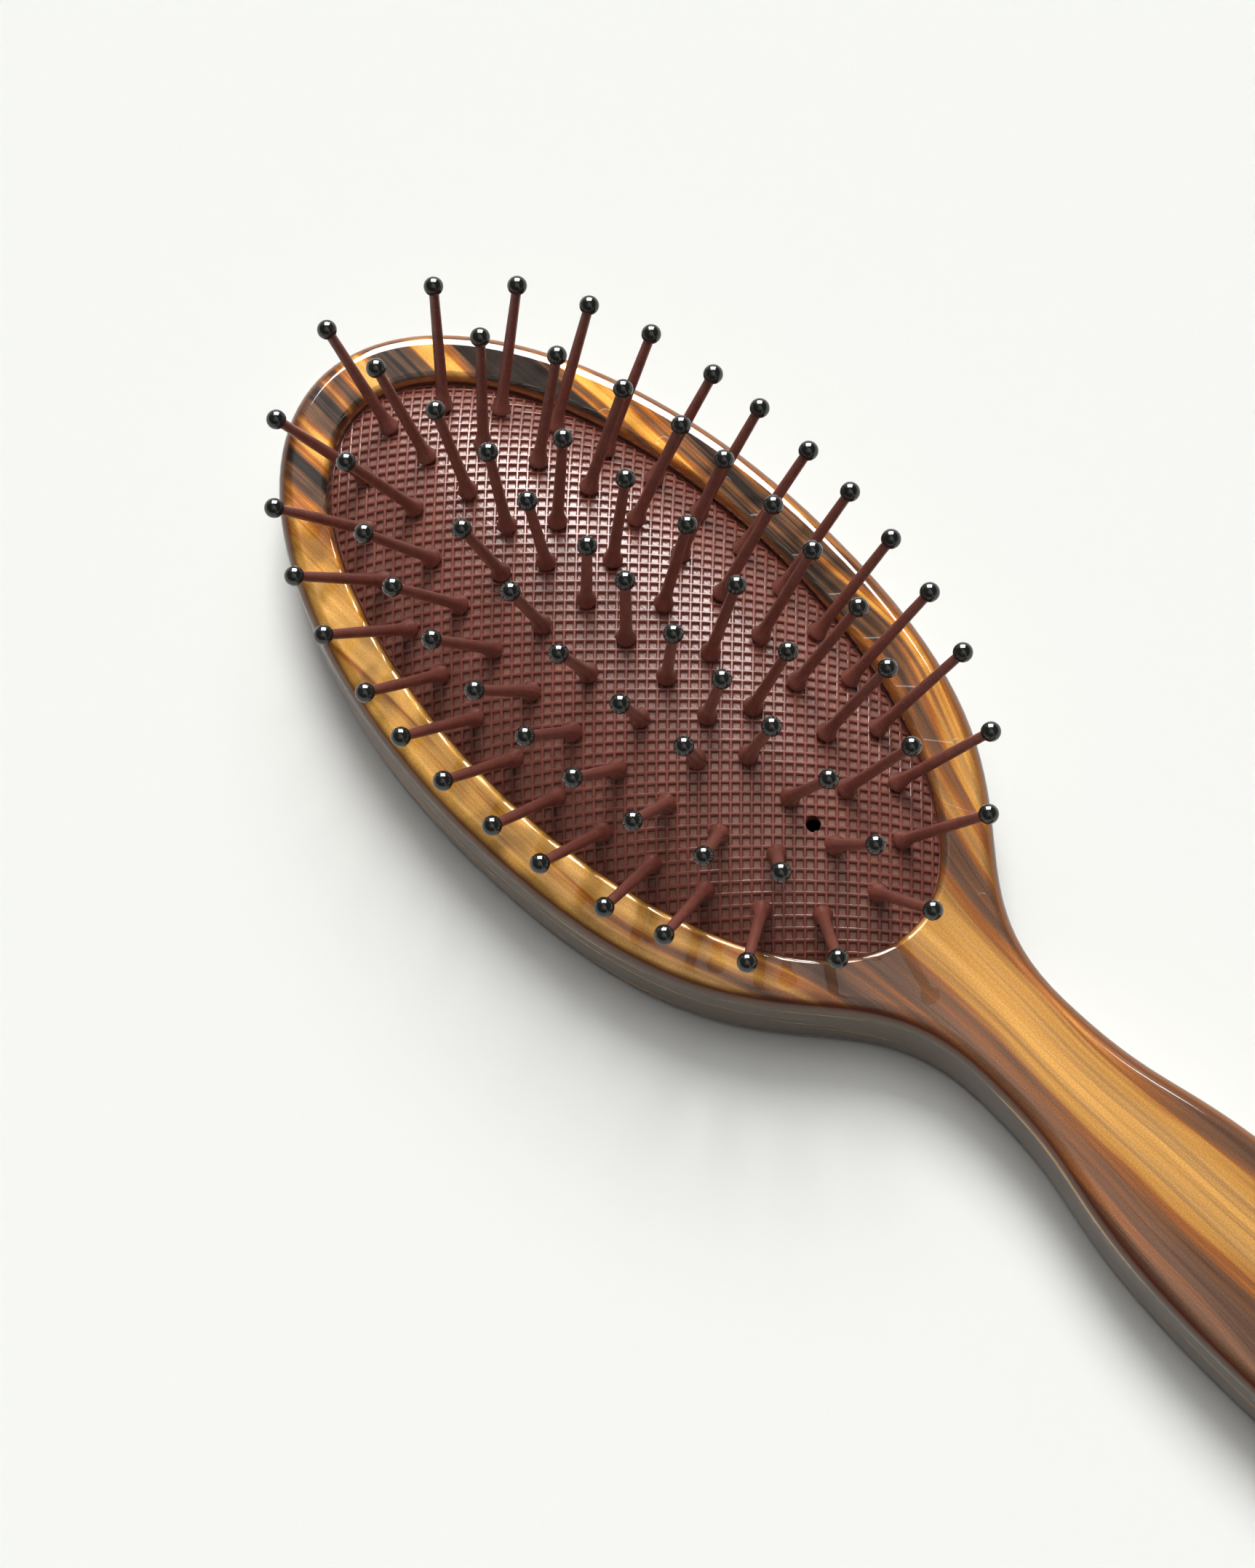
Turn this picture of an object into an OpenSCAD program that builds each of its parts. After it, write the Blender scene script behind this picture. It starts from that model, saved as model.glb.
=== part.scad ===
// Detangling brush with an oval air cushion: a flat body cut from thick acetate sheet,
// a domed rubber pad sprung over an air space, and ball-tipped nylon pins in an outer
// ring, a second ring, a third ring and a centre row.
// The brush lies on its back with the pins up. X runs from the head to the end of the
// handle, Z is up, and the origin is on the back, halfway along. Sizes in millimetres.

/* [Body] */
// Overall length, from the head's tip to the end of the handle
body_l = 220; // [200:1:260]
// Thickness of the sheet
body_t = 12.5; // [11.5:0.5:16]
// Rounding of the outer edges, back and face
edge_r = 2; // [1:0.25:3]
// Width of the rim beside the pad
rim_side = 6.5; // [4.5:0.25:9]
// Width of the rim in front of the pad
rim_toe = 6.75; // [5:0.25:11]
// From the middle of the pad to the widest place of the head
head_back = 1; // [0:0.2:6]
// From the widest place of the head to the narrowest place of the neck
neck_gap = 62.5; // [56:0.5:75]
// Width of the neck
neck_w = 13.25; // [10:0.25:18]
// From the neck to the widest place of the handle
swell_gap = 43.5; // [34:0.5:48]
// Width of the handle at its widest
handle_w = 22.2; // [19:0.2:28]
// Width of the handle where its round end starts
end_w = 19; // [15:0.5:24]

/* [Pocket] */
// Length of the oval opening
open_l = 91.4; // [86:0.2:96]
// Width of the oval opening
open_w = 43; // [41:0.2:50]
// Rounding of the opening's brim
brim_r = 1; // [0.4:0.1:1.4]
// Thickness left under the pocket
floor_t = 4.5; // [3:0.5:5.5]
// Rounding at the edge of the pocket's floor
floor_r = 1.5; // [0.5:0.25:3]

/* [Pad] */
// Thickness of the rubber
pad_t = 1.6; // [1.2:0.1:2]
// Height of the pad's crown above the face
pad_rise = 6.6; // [4:0.1:9]
// Depth of the pad's edge below the face
pad_sink = 1.9; // [1.6:0.1:2.4]
// How far the flange reaches under the brim
flange_d = 1.5; // [1:0.1:2]
// Gap between the flange and its groove
flange_gap = 0.15; // [0.1:0.05:0.3]
// Diameter of the vent hole
vent_d = 1.75; // [1:0.05:2]

/* [Pins] */
// From the pad to the centre of a ball tip, along the pin
pin_reach = 18; // [14:0.5:24]
// Shaft diameter at the top of the foot
shaft_d = 1.4; // [1.25:0.05:1.6]
// Shaft diameter in the ball tip
shaft_tip_d = 1.14; // [1:0.02:1.24]
// Diameter of the foot that flares out on the pad
foot_d = 2.4; // [2.1:0.05:2.8]
// Height of the foot
foot_h = 3; // [2:0.1:4]
// Rounding at the bottom of the foot
foot_r = 0.4; // [0.2:0.05:0.5]
// Gap between the foot and the pad
foot_gap = 0.3; // [0.25:0.01:0.4]
// Diameter of the stem through the pad
stem_d = 1.5; // [1.3:0.05:1.7]
// Gap round the stem in its hole
stem_gap = 0.05; // [0.03:0.01:0.08]
// Diameter of the retaining head under the pad
head_d = 3; // [2.6:0.1:3.4]
// Thickness of the retaining head
head_h = 0.8; // [0.6:0.1:1.2]
// Gap between the retaining head and the pad
head_gap = 0.5; // [0.45:0.05:0.7]

/* [Ball tips] */
// Diameter of a ball tip
ball_d = 2.3; // [2.1:0.1:2.6]
// Gap between a shaft and the bore of its ball tip
ball_gap = 0.02; // [0.01:0.01:0.05]
// How far a shaft ends above the centre of its ball tip
ball_bite = 0.35; // [0.1:0.05:0.5]

/* [Layout] */
// How far the middle of the pins lies ahead of the middle of the pad
pins_ahead = 0.1; // [0:0.1:1]
// From the opening to the outer ring, at the head and at the handle
outer_end_gap = 5.4; // [5:0.1:7]
// From the opening to the outer ring, at the sides
outer_side_gap = 3.7; // [3.6:0.05:5]
// Pins in the outer ring
outer_count = 28; // [22:2:30]
// Pins in the second ring
second_count = 22; // [18:2:24]

/* [Hidden] */

// Facets round a pin
pin_facets = 32;
// Points round the opening, and round the pad, which shares every second one
open_points = 96;
pad_points = open_points / 2;
// Rings of facets from the pad's crown to its edge, outside and inside
pad_rings = 10;
lining_rings = 7;
// Facets across a rounded outer edge, the opening's brim and the edge of its floor
edge_facets = 4;
brim_facets = 3;
floor_facets = 2;
// Points along each stretch of the outline
stretch_points = 14;
// Degrees in a quarter turn, and between the points that a ring's length is summed over
quarter_turn = 90;
run_step = 1;

// Places along the body
tip_x = -body_l / 2;
pad_x = tip_x + rim_toe + open_l / 2;
widest_x = pad_x + head_back;
neck_x = widest_x + neck_gap;
swell_x = neck_x + swell_gap;
end_x = body_l / 2 - end_w / 2;
pins_x = pad_x - pins_ahead;
head_half_w = open_w / 2 + rim_side;

// How far each stretch of the outline runs straight on at its two ends
shoulder_share = 0.747;
neck_in_share = 0.367;
neck_out_share = 0.41;
swell_share = 0.652;
tail_share = 0.35;

// Heights of the pad and its groove
crown_z = body_t + pad_rise;
edge_z = body_t - pad_sink;
pad_drop = crown_z - edge_z;
flange_z = edge_z - pad_t;
groove_d = flange_d + flange_gap * 2;

// How fast the pad falls away from its crown, toward its ends and its sides
fall_end_share = 3.19;
fall_side_share = 2.82;

// Lean of the pins, as run over rise: toward the handle all over, outward along the
// brush, more so at its ends, outward to the sides, more so at the ends, and at random
lean_handle_share = 0.071;
lean_long_share = 0.243;
lean_end_share = 0.5;
lean_side_share = 0.857;
lean_corner_share = 0.671;
lean_scatter_share = 0.044;
scatter_seed = 7;

// The outer ring, and the other pins and the vent hole by how far out they lie in it
outer_half_l = open_l / 2 - outer_end_gap;
outer_half_w = open_w / 2 - outer_side_gap;
second_l_share = 0.833;
second_w_share = 0.657;
third_l_share = 0.6;
third_w_share = 0.327;
third_last_share = 0.398;
centre_last_share = 0.654;
vent_share = 0.751;

// Pins of each ring that belong to its toe and to its heel
outer_end_count = 7;
second_end_count = 5;
third_half_count = 2;
centre_half_count = 4;

// Facets along the foot's flare and round its bottom edge
flare_facets = 4;
foot_facets = 2;
head_top = -(pad_t + head_gap);
hole_half = foot_gap + foot_h;

function bezier(a, b, c, d, t) =
    a * pow(1 - t, 3) + 3 * b * t * pow(1 - t, 2) + 3 * c * t * t * (1 - t) + d * pow(t, 3);

// A stretch that leaves a and reaches b along the brush, without its last point
function stretch(a, b, out_share, in_share) = let (run = b[0] - a[0]) [
    for (i = [0 : stretch_points - 1])
        bezier(a, a + [run * out_share, 0], b - [run * in_share, 0], b, i / stretch_points)
];

// A quarter of an oval round c, from its tip to its side or, with way = -1, back
function quarter(c, half_l, half_w, way) = [
    for (i = [way < 0 ? 0 : 1 : stretch_points - 1])
        let (t = quarter_turn * i / stretch_points)
        way < 0 ? c + [half_l * sin(t), half_w * cos(t)] : c + [-half_l * cos(t), half_w * sin(t)]
];

// One side of the body from the head's tip to the handle's end, both ends left out
side_points = concat(
    quarter([widest_x, 0], widest_x - tip_x, head_half_w, 1),
    stretch([widest_x, head_half_w], [neck_x, neck_w / 2], shoulder_share, neck_in_share),
    stretch([neck_x, neck_w / 2], [swell_x, handle_w / 2], neck_out_share, swell_share),
    stretch([swell_x, handle_w / 2], [end_x, end_w / 2], tail_share, tail_share),
    quarter([end_x, 0], end_w / 2, end_w / 2, -1)
);
outline = concat(
    [[tip_x, 0]],
    side_points,
    [[body_l / 2, 0]],
    [for (i = [len(side_points) - 1 : -1 : 0]) [side_points[i][0], -side_points[i][1]]]
);

// Outward direction at each point of a closed outline that runs clockwise
function outward(points) = let (n = len(points)) [
    for (i = [0 : n - 1])
        let (way = points[(i + 1) % n] - points[(i + n - 1) % n])
        [-way[1], way[0]] / norm(way)
];

outline_out = outward(outline);
open_oval = [
    for (i = [0 : open_points - 1])
        let (t = 4 * quarter_turn * i / open_points)
        [pad_x - open_l / 2 * cos(t), open_w / 2 * sin(t)]
];
open_out = outward(open_oval);

// A ring of points at height z, moved outward by d
function ring(points, out, d, z) = [
    for (i = [0 : len(points) - 1])
        [points[i][0] + out[i][0] * d, points[i][1] + out[i][1] * d, z]
];

// Facets between rings of n points that follow each other, first to last
function walls(first, last, n, start) = [
    for (k = [first : last - 1], i = [0 : n - 1])
        let (a = start + k * n + i, b = start + k * n + (i + 1) % n)
        each [[a, b, a + n], [b, b + n, a + n]]
];

// Facets across a ring of n points that is mirrored in the axis, from point first to
// point last of its right side
function across(first, last, n, start) = [
    for (j = [first : last - 1])
        let (right = [start + j, start + j + 1])
        j == 0 ? concat(right, start + n - 1)
        : j + 1 == n / 2 ? concat(right, start + n - j)
        : concat(right, start + n - j - 1, start + n - j)
];
function turned(faces) = [for (f = faces) [for (i = [len(f) - 1 : -1 : 0]) f[i]]];

// Height of the pad's outer surface at x, y
function pad_z(x, y) = let (
    u = (x - pad_x) / (open_l / 2),
    v = y / (open_w / 2),
    q = norm([u, v]),
    end_share = q > 0 ? u * u / (q * q) : 0
) crown_z - pad_drop * pow(q, fall_side_share + (fall_end_share - fall_side_share) * end_share);

// A ring of the pad at the share q of its oval, lowered by drop
function pad_ring(q, drop) = [
    for (i = [0 : pad_points - 1])
        let (p = open_oval[i * 2], x = pad_x + (p[0] - pad_x) * q, y = p[1] * q)
        [x, y, pad_z(x, y) - drop]
];

// A ring of the flange, moved outward from the opening
function flange_ring(z) = [
    for (i = [0 : pad_points - 1])
        [open_oval[i * 2][0] + open_out[i * 2][0] * flange_d,
         open_oval[i * 2][1] + open_out[i * 2][1] * flange_d, z]
];

module pad_skin() {
    rings = concat(
        [for (k = [1 : lining_rings]) pad_ring(k / lining_rings, pad_t)],
        [flange_ring(flange_z), flange_ring(edge_z)],
        [for (k = [pad_rings : -1 : 1]) pad_ring(k / pad_rings, 0)]
    );
    n = pad_points;
    top = (len(rings) - 1) * n;
    pole = len(rings) * n;
    polyhedron(
        points = concat(
            [for (r = rings) each r],
            [[pad_x, 0, crown_z - pad_t], [pad_x, 0, crown_z]]
        ),
        faces = concat(
            [for (i = [0 : n - 1]) [pole, (i + 1) % n, i]],
            walls(0, len(rings) - 1, n, 0),
            [for (i = [0 : n - 1]) [pole + 1, top + i, top + (i + 1) % n]]
        )
    );
}

// Running length round an oval against the angle from its toe
function oval_at(half_l, half_w, t) = [-half_l * cos(t), half_w * sin(t)];
function oval_runs(half_l, half_w) = [
    for (t = 0, run = 0; t <= 4 * quarter_turn;
         run = run + norm(oval_at(half_l, half_w, t + run_step) - oval_at(half_l, half_w, t)),
         t = t + run_step)
        [run, t]
];

// Places evenly spaced round an oval, the first at the toe and the next to the right
function oval_places(count, half_l, half_w) = let (
    runs = oval_runs(half_l, half_w),
    whole = runs[len(runs) - 1][0]
) [for (i = [0 : count - 1]) oval_at(half_l, half_w, lookup(whole * i / count, runs))];

// Each place gets two random numbers for its pin's lean
function scattered(places, seed) = let (r = rands(-1, 1, 2 * len(places), seed)) [
    for (i = [0 : len(places) - 1]) [places[i][0], places[i][1], r[2 * i], r[2 * i + 1]]
];
function arc(places, first, count) = let (n = len(places)) [
    for (i = [first : first + count - 1]) places[(i + n) % n]
];

outer = scattered(oval_places(outer_count, outer_half_l, outer_half_w), scatter_seed);
outer_side_count = outer_count / 2 - outer_end_count;
outer_first = -(outer_end_count - 1) / 2;
outer_toe = arc(outer, outer_first, outer_end_count);
outer_right = arc(outer, outer_first + outer_end_count, outer_side_count);
outer_heel = arc(outer, outer_first + outer_count / 2, outer_end_count);
outer_left = arc(outer, outer_first + outer_count / 2 + outer_end_count, outer_side_count);

second = scattered(
    oval_places(second_count, outer_half_l * second_l_share, outer_half_w * second_w_share),
    scatter_seed + 1
);
second_side_count = second_count / 2 - second_end_count;
second_first = -(second_end_count - 1) / 2;
second_toe = arc(second, second_first, second_end_count);
second_right = arc(second, second_first + second_end_count, second_side_count);
second_heel = arc(second, second_first + second_count / 2, second_end_count);
second_left = arc(second, second_first + second_count / 2 + second_end_count, second_side_count);

function third_side(way, seed) = scattered([
    for (i = [-third_half_count : third_half_count])
        let (u = third_last_share * i / third_half_count)
        [outer_half_l * u, way * outer_half_w * third_w_share * sqrt(1 - pow(u / third_l_share, 2))]
], seed);
third_right = third_side(1, scatter_seed + 2);
third_left = third_side(-1, scatter_seed + 3);

centre = scattered(
    [
        for (i = [-centre_half_count : centre_half_count])
            [outer_half_l * centre_last_share * i / centre_half_count, 0]
    ],
    scatter_seed + 4
);

// Run over rise of the pin at a place, along the brush and to the side
function lean(p) = let (u = p[0] / (open_l / 2), v = p[1] / (open_w / 2)) [
    lean_handle_share + lean_long_share * u + lean_end_share * pow(u, 3)
        + lean_scatter_share * p[2],
    v * (lean_side_share + lean_corner_share * u * u)
        + lean_scatter_share * p[3] * (1 - abs(p[1] / outer_half_w))
];

// Stands its children on the pad at a place, leaning as the pin there leans
module stand(p) {
    way = lean(p);
    x = pins_x + p[0];
    translate([x, p[1], pad_z(x, p[1])])
        rotate([0, atan(norm(way)), atan2(way[1], way[0])])
            children();
}

// The body is one shell: the back, the outer wall from the back up to the face, the
// face round the opening and along the handle, the pocket's wall down, and its floor
module handle_body() {
    outer_rings = concat(
        [
            for (i = [0 : edge_facets])
                let (t = quarter_turn * i / edge_facets)
                ring(outline, outline_out, edge_r * (sin(t) - 1), edge_r * (1 - cos(t)))
        ],
        [
            for (i = [edge_facets : -1 : 0])
                let (t = quarter_turn * i / edge_facets)
                ring(outline, outline_out, edge_r * (sin(t) - 1),
                     body_t - edge_r * (1 - cos(t)))
        ]
    );
    pocket_rings = concat(
        [
            for (i = [brim_facets : -1 : 0])
                let (t = quarter_turn * i / brim_facets)
                ring(open_oval, open_out, brim_r * (1 - cos(t)), body_t - brim_r * (1 - sin(t)))
        ],
        [
            ring(open_oval, open_out, 0, edge_z + flange_gap),
            ring(open_oval, open_out, groove_d, edge_z + flange_gap),
            ring(open_oval, open_out, groove_d, flange_z - flange_gap),
            ring(open_oval, open_out, 0, flange_z - flange_gap)
        ],
        [
            for (i = [floor_facets : -1 : 0])
                let (t = quarter_turn * i / floor_facets)
                ring(open_oval, open_out, floor_r * (sin(t) - 1), floor_t + floor_r * (1 - cos(t)))
        ]
    );
    n = len(outline);
    face = (len(outer_rings) - 1) * n;
    brim = len(outer_rings) * n;
    floor_ring = brim + (len(pocket_rings) - 1) * open_points;
    neck = 2 * stretch_points;
    heel = open_points / 2;
    // Facets between the outline and the opening, from the toe to the neck
    right_face = [
        for (i = [0 : heel - 1])
            let (j = floor(i * neck / heel), next = floor((i + 1) * neck / heel))
            next == j ? [face + j, brim + i + 1, brim + i]
            : [face + j, face + next, brim + i + 1, brim + i]
    ];
    left_face = [
        for (i = [0 : heel - 1])
            let (
                j = floor(i * neck / heel),
                next = floor((i + 1) * neck / heel),
                ends = [brim + (open_points - i) % open_points, brim + open_points - i - 1]
            )
            next == j ? concat(ends, face + (n - j) % n)
            : concat(ends, face + n - next, face + (n - j) % n)
    ];
    color("#C8943C") polyhedron(
        points = [for (r = concat(outer_rings, pocket_rings)) each r],
        faces = concat(
            turned(across(0, n / 2, n, 0)),
            walls(0, len(outer_rings) - 1, n, 0),
            right_face,
            left_face,
            [[brim + heel, face + neck, face + n - neck]],
            across(neck, n / 2, n, face),
            walls(0, len(pocket_rings) - 1, open_points, brim),
            across(0, heel, open_points, floor_ring)
        )
    );
}

module cushion_pad() {
    color("#7A4A44") difference() {
        pad_skin();
        for (p = concat(outer, second, third_right, third_left, centre))
            stand(p)
                translate([0, 0, -hole_half])
                    cylinder(h = 2 * hole_half, d = stem_d + 2 * stem_gap, $fn = pin_facets);
        translate([pins_x + outer_half_l * vent_share, 0, edge_z])
            cylinder(h = pad_drop, d = vent_d, $fn = pin_facets);
    }
}

// A pin: head and stem under the pad, the foot that flares out on the pad, and the
// tapered shaft, whose end sits in the ball tip
module pin() {
    foot_top = foot_gap + foot_h;
    flare_z = foot_gap + foot_r;
    rotate_extrude($fn = pin_facets) polygon(concat(
        [
            [0, head_top - head_h],
            [head_d / 2, head_top - head_h],
            [head_d / 2, head_top],
            [stem_d / 2, head_top],
            [stem_d / 2, foot_gap]
        ],
        [
            for (i = [0 : foot_facets])
                let (t = quarter_turn * i / foot_facets)
                [foot_d / 2 - foot_r * (1 - sin(t)), flare_z - foot_r * cos(t)]
        ],
        [
            for (i = [1 : flare_facets])
                let (rise = i / flare_facets)
                [shaft_d / 2 + (foot_d - shaft_d) / 2 * pow(1 - rise, 2),
                 flare_z + (foot_top - flare_z) * rise]
        ],
        [
            [shaft_tip_d / 2, pin_reach + ball_bite],
            [0, pin_reach + ball_bite]
        ]
    ));
}

module ball_tip() {
    // The bore clears the shaft where it is widest, at the ball's lower end
    taper_share = (ball_d + ball_bite) / (pin_reach - foot_h);
    bore_d = shaft_tip_d + (shaft_d - shaft_tip_d) * taper_share + 2 * ball_gap;
    difference() {
        translate([0, 0, pin_reach]) sphere(d = ball_d, $fn = pin_facets);
        translate([0, 0, pin_reach - ball_d])
            cylinder(h = ball_d + ball_bite + ball_gap, d = bore_d, $fn = pin_facets);
    }
}

module pin_set(places) {
    color("#6B3A32") for (p = places) stand(p) pin();
}

module tip_set(places) {
    color("#25261F") for (p = places) stand(p) ball_tip();
}

module pins_outer_toe() pin_set(outer_toe);
module pins_outer_right() pin_set(outer_right);
module pins_outer_heel() pin_set(outer_heel);
module pins_outer_left() pin_set(outer_left);
module pins_second_toe() pin_set(second_toe);
module pins_second_right() pin_set(second_right);
module pins_second_heel() pin_set(second_heel);
module pins_second_left() pin_set(second_left);
module pins_third_right() pin_set(third_right);
module pins_third_left() pin_set(third_left);
module pins_centre_row() pin_set(centre);
module tips_outer_toe() tip_set(outer_toe);
module tips_outer_right() tip_set(outer_right);
module tips_outer_heel() tip_set(outer_heel);
module tips_outer_left() tip_set(outer_left);
module tips_second_toe() tip_set(second_toe);
module tips_second_right() tip_set(second_right);
module tips_second_heel() tip_set(second_heel);
module tips_second_left() tip_set(second_left);
module tips_third_right() tip_set(third_right);
module tips_third_left() tip_set(third_left);
module tips_centre_row() tip_set(centre);

handle_body();
cushion_pad();
pins_outer_toe();
pins_outer_right();
pins_outer_heel();
pins_outer_left();
pins_second_toe();
pins_second_right();
pins_second_heel();
pins_second_left();
pins_third_right();
pins_third_left();
pins_centre_row();
tips_outer_toe();
tips_outer_right();
tips_outer_heel();
tips_outer_left();
tips_second_toe();
tips_second_right();
tips_second_heel();
tips_second_left();
tips_third_right();
tips_third_left();
tips_centre_row();
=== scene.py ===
"""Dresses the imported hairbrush: a marbled acetate body, a ribbed rubber pad, nylon pins with
dark ball tips, and the pale studio that they are seen in."""

import math

import bpy
import numpy as np
from bpy.props import FloatProperty, FloatVectorProperty, IntProperty, PointerProperty
from mathutils import Matrix, Vector


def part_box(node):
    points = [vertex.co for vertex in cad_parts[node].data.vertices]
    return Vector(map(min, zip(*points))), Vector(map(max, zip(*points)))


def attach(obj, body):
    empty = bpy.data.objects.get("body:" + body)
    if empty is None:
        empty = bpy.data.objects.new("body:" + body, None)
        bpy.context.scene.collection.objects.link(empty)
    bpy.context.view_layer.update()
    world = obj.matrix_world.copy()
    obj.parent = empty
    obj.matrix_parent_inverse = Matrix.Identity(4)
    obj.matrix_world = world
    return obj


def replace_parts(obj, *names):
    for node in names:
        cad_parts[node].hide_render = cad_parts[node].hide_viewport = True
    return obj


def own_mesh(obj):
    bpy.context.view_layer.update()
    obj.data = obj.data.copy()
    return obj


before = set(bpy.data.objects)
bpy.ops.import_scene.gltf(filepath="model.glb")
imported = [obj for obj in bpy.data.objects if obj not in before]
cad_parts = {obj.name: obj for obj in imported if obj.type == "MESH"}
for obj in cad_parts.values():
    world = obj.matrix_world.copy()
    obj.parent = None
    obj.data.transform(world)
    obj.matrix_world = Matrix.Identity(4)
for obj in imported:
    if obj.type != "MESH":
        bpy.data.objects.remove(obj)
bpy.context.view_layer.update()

bl_info = {
    "name": "Cushion hairbrush",
    "version": (1, 0, 0),
    "blender": (4, 5, 0),
    "location": "View3D > Sidebar > Brush",
    "description": "Builds an acetate hairbrush with a ribbed pad and ball-tipped pins",
    "category": "Add Mesh",
}

BODY_LOW, BODY_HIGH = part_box("handle_body")
PAD_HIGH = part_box("cushion_pad")[1]

# How far each curve of the outline leaves and reaches its ends along the brush
SHOULDER_SHARES = (0.747, 0.367)
NECK_SHARES = (0.41, 0.652)
TAIL_SHARES = (0.35, 0.35)
# How fast the pad falls toward its sides, and how much faster toward its ends
PAD_FALL_SHARE, PAD_END_FALL_SHARE = 2.82, 0.37
# Clearance round the pad's flange and rounding of the pocket's floor
FLANGE_GAP, FLOOR_RADIUS = 0.00015, 0.0015
# How far a shaft ends above the centre of its ball tip
SHAFT_BITE = 0.00035
# Colours of the dust on the pins and of the studio's paper
DUST, PAPER = "#C9A79C", "#F7F8F4"
# The photograph's width and the camera's focal length, both in its pixels
PHOTO_WIDTH, FOCAL_PIXELS = 1725, 6149.4
SENSOR_WIDTH = 36.0


def linear(code):
    """A linear colour with alpha from a six-digit sRGB hex code."""
    parts = [int(code[i : i + 2], 16) / 255 for i in (1, 3, 5)]
    return [p / 12.92 if p <= 0.04045 else ((p + 0.055) / 1.055) ** 2.4 for p in parts] + [1.0]


def size(name, default, description, low=0.0):
    return FloatProperty(
        name=name, description=description, default=default, min=low, unit="LENGTH", precision=5
    )


def tint(name, code, description):
    return FloatVectorProperty(
        name=name, description=description, default=linear(code), size=4, subtype="COLOR",
        min=0.0, max=1.0,
    )


class BrushBodySizes(bpy.types.PropertyGroup):
    """Sizes and colours of the acetate body"""

    length: size("Length", BODY_HIGH.x - BODY_LOW.x, "From the head's tip to the handle's end")
    thickness: size("Thickness", BODY_HIGH.z, "Thickness of the sheet")
    edge_radius: size("Edge radius", 0.002, "Rounding of the outer edges")
    head_width: size("Head width", 0.056, "Width of the head")
    head_centre: size("Head centre", -0.05655, "Where the head is widest, along the brush", -0.2)
    neck_place: size("Neck place", 0.00595, "Where the neck is narrowest, along the brush", -0.2)
    neck_width: size("Neck width", 0.01325, "Width of the neck")
    swell_place: size("Swell place", 0.04945, "Where the handle is widest, along the brush", -0.2)
    swell_width: size("Swell width", 0.0222, "Width of the handle at its widest")
    end_width: size("End width", 0.019, "Width of the handle where its round end starts")
    floor: size("Pocket floor", 0.0045, "Thickness left under the pocket")
    brim_radius: size("Brim radius", 0.001, "Rounding of the pocket's brim")
    pearl: tint("Pearl", "#DFA856", "Brightest gold of the sheet")
    gold: tint("Gold", "#BC873A", "Gold of the sheet")
    amber: tint("Amber", "#94521A", "Orange veins of the sheet")
    brown: tint("Brown", "#5E412C", "Brown veins of the sheet")
    taupe: tint("Taupe", "#574B41", "Grey-brown veil in the streaks")
    # Painted shade: the rounded edge on the left side, away from the lamps, is dark red-brown
    # instead of amber
    rim_painted_shade: tint("Cherry", "#58230F", "Dark red-brown along the left edge")
    wall: tint("Wall", "#5F4826", "Layers that show in the cut edge")
    dusk: tint("Dusk", "#26201D", "Darkest grey-brown veins of the sheet")
    haze: tint("Haze", "#A57356", "Milky brown that softens the handle's streaks")


class BrushPadSizes(bpy.types.PropertyGroup):
    """Sizes and colours of the rubber pad"""

    centre: size("Centre", -0.05755, "Middle of the pad along the brush", -0.2)
    length: size("Length", 0.0914, "Length of the oval opening")
    width: size("Width", 0.043, "Width of the oval opening")
    crown: size("Crown", PAD_HIGH.z, "Height of the pad's crown")
    edge: size("Edge", 0.0106, "Height of the pad's edge under the brim")
    skin: size("Skin", 0.0016, "Thickness of the rubber")
    flange: size("Flange", 0.0015, "Reach of the flange under the brim")
    rib_pitch: size("Rib pitch", 0.0012, "Distance between the ribs")
    rib_width: size("Rib width", 0.0003, "Width of a rib's round top")
    rib_depth: size("Rib depth", 0.00048, "Depth of the cells between the ribs")
    vent_place: size("Vent place", -0.02739, "Vent hole's place along the brush", -0.2)
    vent_width: size("Vent width", 0.00175, "Diameter of the vent hole")
    rubber: tint("Rubber", "#8C5145", "Red-brown rubber")
    # Painted sheen: the cells' rubber is lighter and greyer than the ribs' to stand for the sheen
    # on their flat floors
    recess_painted_sheen: tint("Recess", "#966B5D", "Rubber in the cells between the ribs")


class BrushPinSizes(bpy.types.PropertyGroup):
    """Sizes and colours of the pins and their ball tips"""

    reach: size("Reach", 0.018, "From the pad to the centre of a ball tip")
    shaft: size("Shaft", 0.0014, "Shaft diameter above the foot")
    shaft_tip: size("Shaft tip", 0.00114, "Shaft diameter in the ball tip")
    foot: size("Foot", 0.0024, "Diameter of the foot on the pad")
    foot_height: size("Foot height", 0.003, "Height of the foot's flare")
    foot_gap: size("Foot gap", 0.0003, "Gap between the foot and the pad")
    head: size("Head", 0.003, "Diameter of the head under the pad")
    head_low: size("Head low", 0.0029, "Depth of the head's underside below the pad")
    head_high: size("Head high", 0.0021, "Depth of the head's upper side below the pad")
    stem: size("Stem", 0.0015, "Stem diameter in the pad")
    ball: size("Ball", 0.0023, "Diameter of a ball tip")
    sides: IntProperty(name="Sides", description="Faces round a pin", default=24, min=8)
    nylon: tint("Nylon", "#7E4437", "Red-brown nylon of the pins")
    enamel: tint("Tip", "#1B1C17", "Dark green-black of the ball tips")


class BrushSettings(bpy.types.PropertyGroup):
    """All sizes and colours of the brush"""

    body: PointerProperty(type=BrushBodySizes)
    pad: PointerProperty(type=BrushPadSizes)
    pins: PointerProperty(type=BrushPinSizes)


# Nodes and materials


def add(tree, kind, inputs=None, **settings):
    """A node of a kind with its settings, its input values and its links."""
    node = tree.nodes.new(kind)
    for key, value in settings.items():
        setattr(node, key, value)
    for key, value in (inputs or {}).items():
        if isinstance(value, bpy.types.NodeSocket):
            tree.links.new(value, node.inputs[key])
        else:
            node.inputs[key].default_value = value
    return node


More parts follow.
